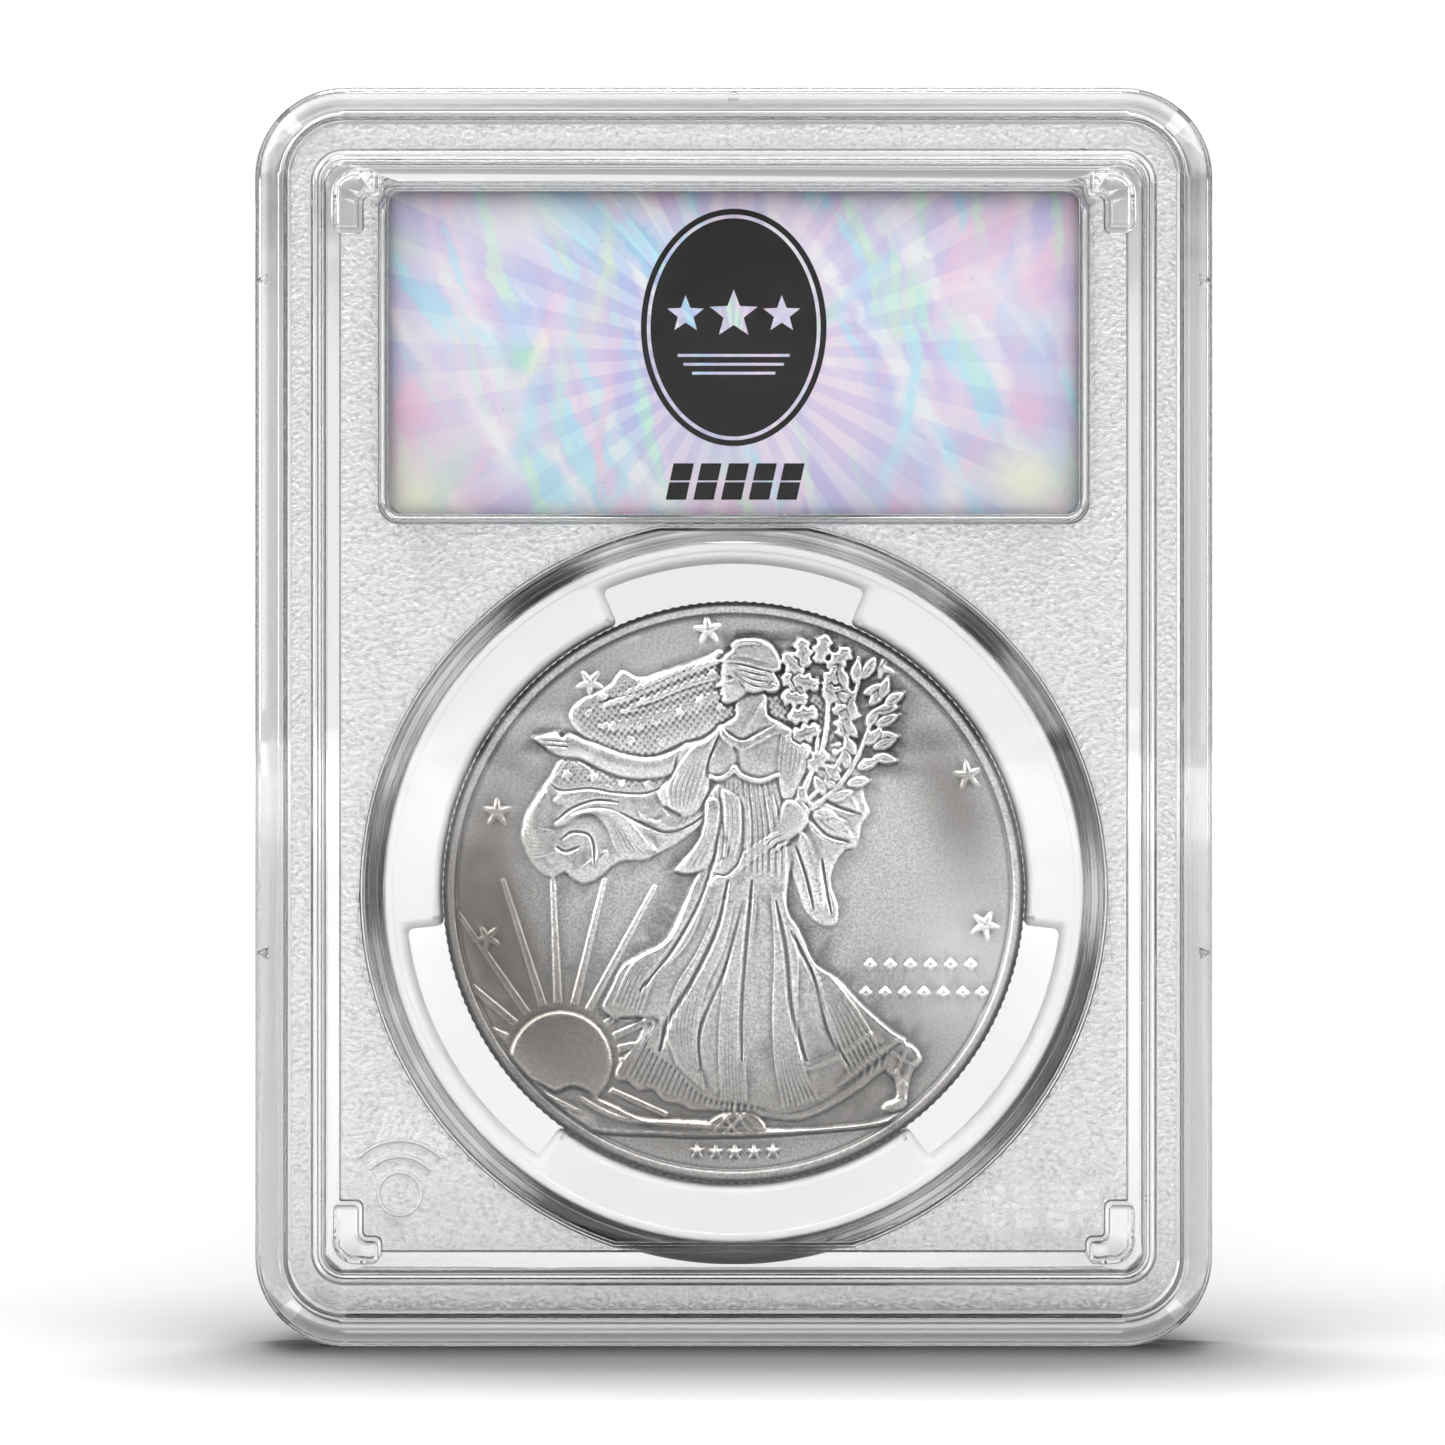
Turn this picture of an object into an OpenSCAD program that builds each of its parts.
// Graded coin slab: two clear moulded shells welded round a ring-held coin,
// a two-sided foil label and a contactless tag.
// Frame: X across, +Y towards the back, +Z up. The origin is the middle of the
// foot that the slab stands on. The coin's front faces -Y.

/* [Shell outline] */
// Width across the two sides
slab_w = 66.5; // [66:0.1:67]
// Height from the foot to the top edge
slab_h = 87.4; // [87:0.1:88]
// Thickness over both rims
slab_t = 8.0; // [7.8:0.1:8.6]
// Radius of the outer corners
corner_r = 6.2; // [5.8:0.1:6.8]
// Depth of the bevel between the side wall and the rim
bevel_d = 1.0; // [0.8:0.05:1.1]
// Width of that bevel, seen from the front
bevel_w = 1.15; // [1:0.05:1.2]

/* [Face relief] */
// Distance from the side of the slab to the inner edge of the rim land
rim_in = 2.25; // [2.1:0.05:2.4]
// Depth of the frosted channel below the rim
channel_d = 0.70; // [0.6:0.05:0.75]
// Distance from the left and right sides to the ridge
ridge_x0 = 3.95; // [3.8:0.05:4.1]
// Distance from the left and right sides to the frosted field
ridge_x1 = 5.95; // [5.8:0.05:6.1]
// Distance from the top and bottom to the ridge
ridge_z0 = 4.30; // [4.2:0.05:4.4]
// Distance from the top and bottom to the frosted field
ridge_z1 = 6.85; // [6.6:0.05:7]
// Depth of the ridge's top below the rim
ridge_d = 0.30; // [0.2:0.05:0.5]
// Depth of the frosted field below the rim
field_d = 0.90; // [0.85:0.05:1]

// Distance from the left and right sides to the sealed cavity
cavity_x = 4.50; // [4.2:0.05:4.8]
// Distance from the top and bottom to the sealed cavity
cavity_z = 4.80; // [4.5:0.05:5.2]

/* [Corner lugs] */
// Height of a lug's upright arm
lug_h = 4.25; // [4:0.05:4.4]
// Width of a lug's lying arm
lug_w = 3.40; // [3.2:0.05:3.6]
// Width of the upright arm
lug_a = 1.95; // [1.8:0.05:2.1]
// Width of the lying arm
lug_b = 1.80; // [1.7:0.05:1.9]
// Depth of a lug's top below the rim
lug_d = 0.45; // [0.35:0.05:0.6]

/* [Windows] */
// Width of the label window
label_w = 48.1; // [47.5:0.1:48.5]
// Height of the label window
label_h = 22.6; // [22.2:0.1:22.8]
// Height of the label window's centre above the foot
label_z = 69.05; // [69:0.05:69.2]
// Width of the rib round the label window
label_rib = 0.70; // [0.6:0.05:0.8]
// Height of the coin's centre above the foot
coin_z = 31.5; // [31.4:0.1:31.6]
// Outer radius of the coin well
well_ro = 26.0; // [25.8:0.05:26.05]
// Inner radius of the coin well
well_ri = 24.5; // [24.4:0.05:24.6]

/* [Coin] */
// Radius of the coin
coin_r = 20.3; // [20.2:0.05:20.3]
// Thickness of the coin over its rims
coin_t = 2.98; // [2.8:0.02:3]
// Width of the coin's raised rim
coin_rim = 0.85; // [0.7:0.05:1]
// Depth of the coin's fields below the rim
coin_field = 0.32; // [0.25:0.01:0.36]

/* [Ring] */
// Number of tabs that hold the coin
tab_n = 3; // [3]
// Angle that each tab covers
tab_a = 73; // [70:1:76]
// Clearance between the tabs and the coin
tab_gap = 0.03; // [0.02:0.01:0.05]

/* [Label and tag] */
// Thickness of each label card
card_t = 0.22; // [0.2:0.01:0.22]
// Turns in the tag's antenna
coil_n = 6; // [4:1:7]

/* [Hidden] */
$fn = 96;
mid_z = slab_h / 2;
wall_y = slab_t / 2 - 2.3;      // half the sealed cavity
pinch_y = 0.32;                 // half the gap that pinches the label cards
eps = 0.01;

// ---------- two-dimensional outlines, drawn in X and Z ----------
module rrect(w, h, r) {
    square([w - 2 * r, h], center = true);
    square([w, h - 2 * r], center = true);
    for (sx = [-1, 1], sz = [-1, 1])
        translate([sx * (w / 2 - r), sz * (h / 2 - r)]) circle(r);
}
module slab_2d(ix, iz, r) {
    translate([0, mid_z]) rrect(slab_w - 2 * ix, slab_h - 2 * iz, r);
}
module label_2d(grow, r) {
    translate([0, label_z]) rrect(label_w + 2 * grow, label_h + 2 * grow, r);
}
module lug_2d(grow = 0) {
    r = 1.8 + grow;
    translate([-grow, -grow]) intersection() {
        union() {
            square([lug_a + 2 * grow, lug_h + 2 * grow]);
            square([lug_w + 2 * grow, lug_b + 2 * grow]);
        }
        union() {
            translate([r, r]) circle(r);
            translate([r, 0]) square([9, 9]);
            translate([0, r]) square([9, 9]);
        }
    }
}
module lugs_2d(grow = 0) {
    for (sx = [-1, 1], sz = [-1, 1])
        translate([0, mid_z])
            mirror([sx > 0 ? 1 : 0, 0]) mirror([0, sz > 0 ? 1 : 0])
                translate([-slab_w / 2 + 5.4, -slab_h / 2 + 5.75]) lug_2d(grow);
}
module sector_2d(r0, r1, a0, a1) {
    difference() {
        intersection() {
            circle(r1);
            polygon(concat([[0, 0]], [for (i = [0:6]) let (a = a0 + (a1 - a0) * i / 6)
                3 * r1 * [cos(a), sin(a)]]));
        }
        circle(r0);
    }
}
// The line along which the two shells are welded.
module seam_2d(play) {
    difference() {
        slab_2d(1.5 + play, 1.5 + play, corner_r - 1.5 - play);
        slab_2d(2.1 - play, 2.1 - play, corner_r - 2.1 + play);
    }
}
// Stands a 2D outline up and gives it depth, from y0 back to y1.
module stand(y0, y1) {
    translate([0, y1, 0]) rotate([90, 0, 0]) linear_extrude(y1 - y0) children();
}

// ---------- shells ----------
// The relief that both faces share. The outer face is at y = -slab_t / 2.
module shell_body() {
    f = -slab_t / 2;
    difference() {
        union() {
            stand(f + bevel_d, 0) slab_2d(0, 0, corner_r);
            hull() {
                stand(f + bevel_d - eps, f + bevel_d + 0.1) slab_2d(0, 0, corner_r, $fn = 32);
                stand(f, f + 0.02) slab_2d(bevel_w, bevel_w, corner_r - bevel_w, $fn = 32);
            }
        }
        // channel between rim and ridge
        stand(f - 1, f + channel_d) difference() {
            slab_2d(rim_in, rim_in + 0.1, corner_r - rim_in);
            slab_2d(ridge_x0, ridge_z0, corner_r - ridge_x0);
        }
        // the ridge's top
        stand(f - 1, f + ridge_d) slab_2d(rim_in + 0.5, rim_in + 0.6, corner_r - rim_in - 0.5);
        // the field inside the ridge
        stand(f - 1, f + field_d) slab_2d(ridge_x1, ridge_z1, 1.0);
        // polished round window, a shade deeper than the field
        stand(f - 1, f + field_d + 0.08) intersection() {
            translate([0, coin_z]) circle(well_ro, $fn = 180);
            slab_2d(ridge_x1, ridge_z1, 1.0);
        }
        // sealed cavity
        stand(-wall_y, 1) slab_2d(cavity_x, cavity_z, corner_r - cavity_x);
    }
    // raised bead round the label window
    stand(f + field_d - 0.22, f + field_d + 0.3) difference() {
        label_2d(label_rib, 1.35);
        label_2d(0, 0.9);
    }
    // rib that pinches the label cards at their edges
    stand(-wall_y - 0.3, -pinch_y) difference() {
        label_2d(label_rib, 1.35);
        label_2d(0, 0.9);
    }
    // wall of the coin well
    stand(-wall_y - 0.3, 0) translate([0, coin_z]) difference() {
        circle(well_ro, $fn = 180);
        circle(well_ri, $fn = 180);
    }
}
// Small moulded wedge on the bevel, pointing outwards.
module wedge_mark() {
    stand(-slab_t / 2 + 0.35, -slab_t / 2 + bevel_d + 0.2) polygon([[-0.39, 0], [0.39, 0], [0.12, 0.53], [-0.12, 0.53]]);
}
module front_shell() {
    f = -slab_t / 2;
    color([0.93, 0.94, 0.95, 0.5]) {
        // groove that takes the rear shell's welding tongue
        difference() {
            shell_body();
            stand(-0.32, 1) seam_2d(0);
        }
        // stacking lugs
        stand(f + lug_d, f + field_d + 0.2) lugs_2d();
        // contactless mark, moulded on the field
        stand(f + field_d - 0.05, f + field_d + 0.2) translate([-23.2, 10.55]) {
            difference() { circle(1.75); circle(1.45); }
            translate([0, -0.6]) sector_2d(2.75, 3.15, 42, 138);
            translate([0, -0.6]) sector_2d(3.95, 4.35, 42, 138);
        }
        for (sx = [-1, 1], z = [27.3, 74.05])
            translate([sx * (slab_w / 2 - 0.93), 0, z]) rotate([0, sx * 90, 0]) wedge_mark();
        translate([0, 0, slab_h - 0.93]) wedge_mark();
    }
}
module rear_shell() {
    f = -slab_t / 2;
    color([0.93, 0.94, 0.95, 0.5]) mirror([0, 1, 0]) difference() {
        shell_body();
        // sockets that take the lugs of the slab behind
        stand(f - 1, f + field_d + 0.35) lugs_2d(0.1);
    }
    // welding tongue
    color([0.93, 0.94, 0.95, 0.5]) stand(-0.30, 0.05) seam_2d(0.02);
}

// ---------- ring and coin ----------
module gasket_ring() {
    color("white") translate([0, 0, coin_z]) {
        stand(-1.62, 1.62) difference() {
            circle(24.35, $fn = 180);
            circle(22.9, $fn = 180);
        }
        for (i = [0:tab_n - 1])
            stand(-1.52, 1.52)
                sector_2d(coin_r + tab_gap, 23.2, 270 + i * 360 / tab_n - tab_a / 2,
                          270 + i * 360 / tab_n + tab_a / 2, $fn = 180);
    }
}
// Plain low relief: a striding draped figure, a rising sun and the ground.
sun_c = [-12.3, -9.4];
module ray_2d(a, r0, r1) {
    translate(sun_c) rotate(a) translate([r0, -0.14]) square([r1 - r0, 0.28]);
}
module relief_2d() {
    intersection() {
        circle(coin_r - coin_rim - 0.25, $fn = 120);
        union() {
            translate(sun_c) intersection() {
                circle(3.6);
                translate([-6, -2.6]) square([12, 9]);
            }
            for (a = [35, 52, 69, 86, 103, 120]) ray_2d(a, 4.3, 10.5);
            // skirt and bodice
            polygon([[1.5, 9], [4.5, 9], [5.2, 4.5], [4.6, 1], [7.5, -5], [13, -10.6], [9, -13.4],
                     [2, -14.6], [-3.6, -13.2], [-7.6, -9.6], [-7, -7.2], [-3.4, -3.6],
                     [-1.2, 1.5], [-1.6, 5.5], [-0.6, 8.6]]);
            // outstretched arm
            polygon([[-0.4, 8.6], [-4, 6.9], [-8.6, 6.8], [-13.4, 9], [-13.6, 9.6], [-8.8, 8.4],
                     [-4.4, 8.8], [-0.8, 10.2]]);
            // head
            translate([1.6, 13.6]) circle(1.75);
            translate([1.1, 9.8]) square([1.7, 2.6]);
            // mantle behind the figure
            polygon([[-1, 11], [-7, 13.6], [-11.4, 11.6], [-10.2, 9.6], [-6, 9.2], [-1, 10.4]]);
            // sprays held in the other arm
            polygon([[2.5, 2.8], [6.4, 8.6], [5.6, 15.6], [8.4, 14], [10.6, 11.4], [9.8, 9], [7.6, 6]]);
            // ground
            polygon([[-15.4, -13.4], [-11, -13.6], [-4, -15], [4, -15.2], [14, -14.6], [11, -16.2], [-10, -16.2]]);
        }
    }
}
module coin() {
    h = coin_t / 2;
    color([0.72, 0.71, 0.70]) translate([0, 0, coin_z]) {
        difference() {
            stand(-h, h) circle(coin_r, $fn = 180);
            stand(-h - 1, -h + coin_field) circle(coin_r - coin_rim, $fn = 180);
            stand(h - coin_field, h + 1) circle(coin_r - coin_rim, $fn = 180);
        }
        stand(-h + 0.12, -h + coin_field + 0.1) relief_2d();
        // back: plain wreath ring round a star
        stand(h - coin_field - 0.1, h - 0.12) {
            difference() { circle(14.4, $fn = 120); circle(12.2, $fn = 120); }
            polygon([for (i = [0:9]) let (r = i % 2 == 0 ? 7.4 : 2.9)
                r * [sin(36 * i), cos(36 * i)]]);
        }
    }
}

// ---------- label and tag ----------
module card_2d() {
    translate([0, label_z]) rrect(label_w + 0.8, label_h + 0.36, 0.8);
}
module front_label() {
    color([0.78, 0.76, 0.90]) stand(-0.31, -0.31 + card_t) card_2d();
}
module rear_label() {
    color([0.80, 0.84, 0.92]) stand(0.31 - card_t, 0.31) card_2d();
}
// The tag: a film, a flat coil on its back, a jumper strip from the coil's
// outer end to its inner end, and the chip that sits on the strip.
coil_p = 1.05;                  // pitch of the turns
coil_w = 0.50;                  // width of the track
coil_x = 20.8;                  // half the width of the outer turn
coil_h = 7.6;                   // half its height
strip_x = 13;
module track(a, b) {
    translate([min(a[0], b[0]) - coil_w / 2, min(a[1], b[1]) - coil_w / 2])
        square([abs(a[0] - b[0]) + coil_w, abs(a[1] - b[1]) + coil_w]);
}
module coil_2d() {
    corners = concat([[strip_x, -coil_h - coil_p]],
        [for (i = [0:coil_n - 1]) let (x = coil_x - i * coil_p, h = coil_h - i * coil_p)
            each [[x, -h - coil_p], [x, h], [-x, h], [-x, -h]]],
        [[strip_x, -coil_h + (coil_n - 1) * coil_p]]);
    for (i = [0:len(corners) - 2]) track(corners[i], corners[i + 1]);
}
module tag_film() {
    color([0.9, 0.9, 0.86]) stand(-0.07, -0.02)
        translate([0, label_z]) rrect(44.4, 19.4, 1.2);
}
module tag_antenna() {
    color("silver") stand(-0.02, 0.005) translate([0, label_z + coil_p / 2]) coil_2d();
}
module tag_jumper() {
    color([0.75, 0.60, 0.30]) stand(0.005, 0.03)
        translate([strip_x - 0.45, label_z - coil_h - coil_p / 2 - 0.25])
            square([0.9, coil_n * coil_p + 0.5]);
}
module tag_chip() {
    color([0.12, 0.12, 0.13]) stand(0.03, 0.085)
        translate([strip_x, label_z - coil_h - coil_p / 2 + coil_n * coil_p / 2])
            square([1.1, 1.3], center = true);
}
// Hot-stamped foil at the lower right: a long bar between two rows of four short ones.
module foil_stamp() {
    color([0.90, 0.93, 0.93]) stand(-wall_y, -wall_y + 0.03) translate([21.4, 9.65]) {
        square([8.2, 0.35], center = true);
        for (i = [-1.5:1.5], s = [-1, 1])
            translate([i * 2.2, s * 0.95]) rrect(1.6, 1.05, 0.4);
    }
}

front_shell();
rear_shell();
gasket_ring();
coin();
front_label();
rear_label();
tag_film();
tag_antenna();
tag_jumper();
tag_chip();
foil_stamp();
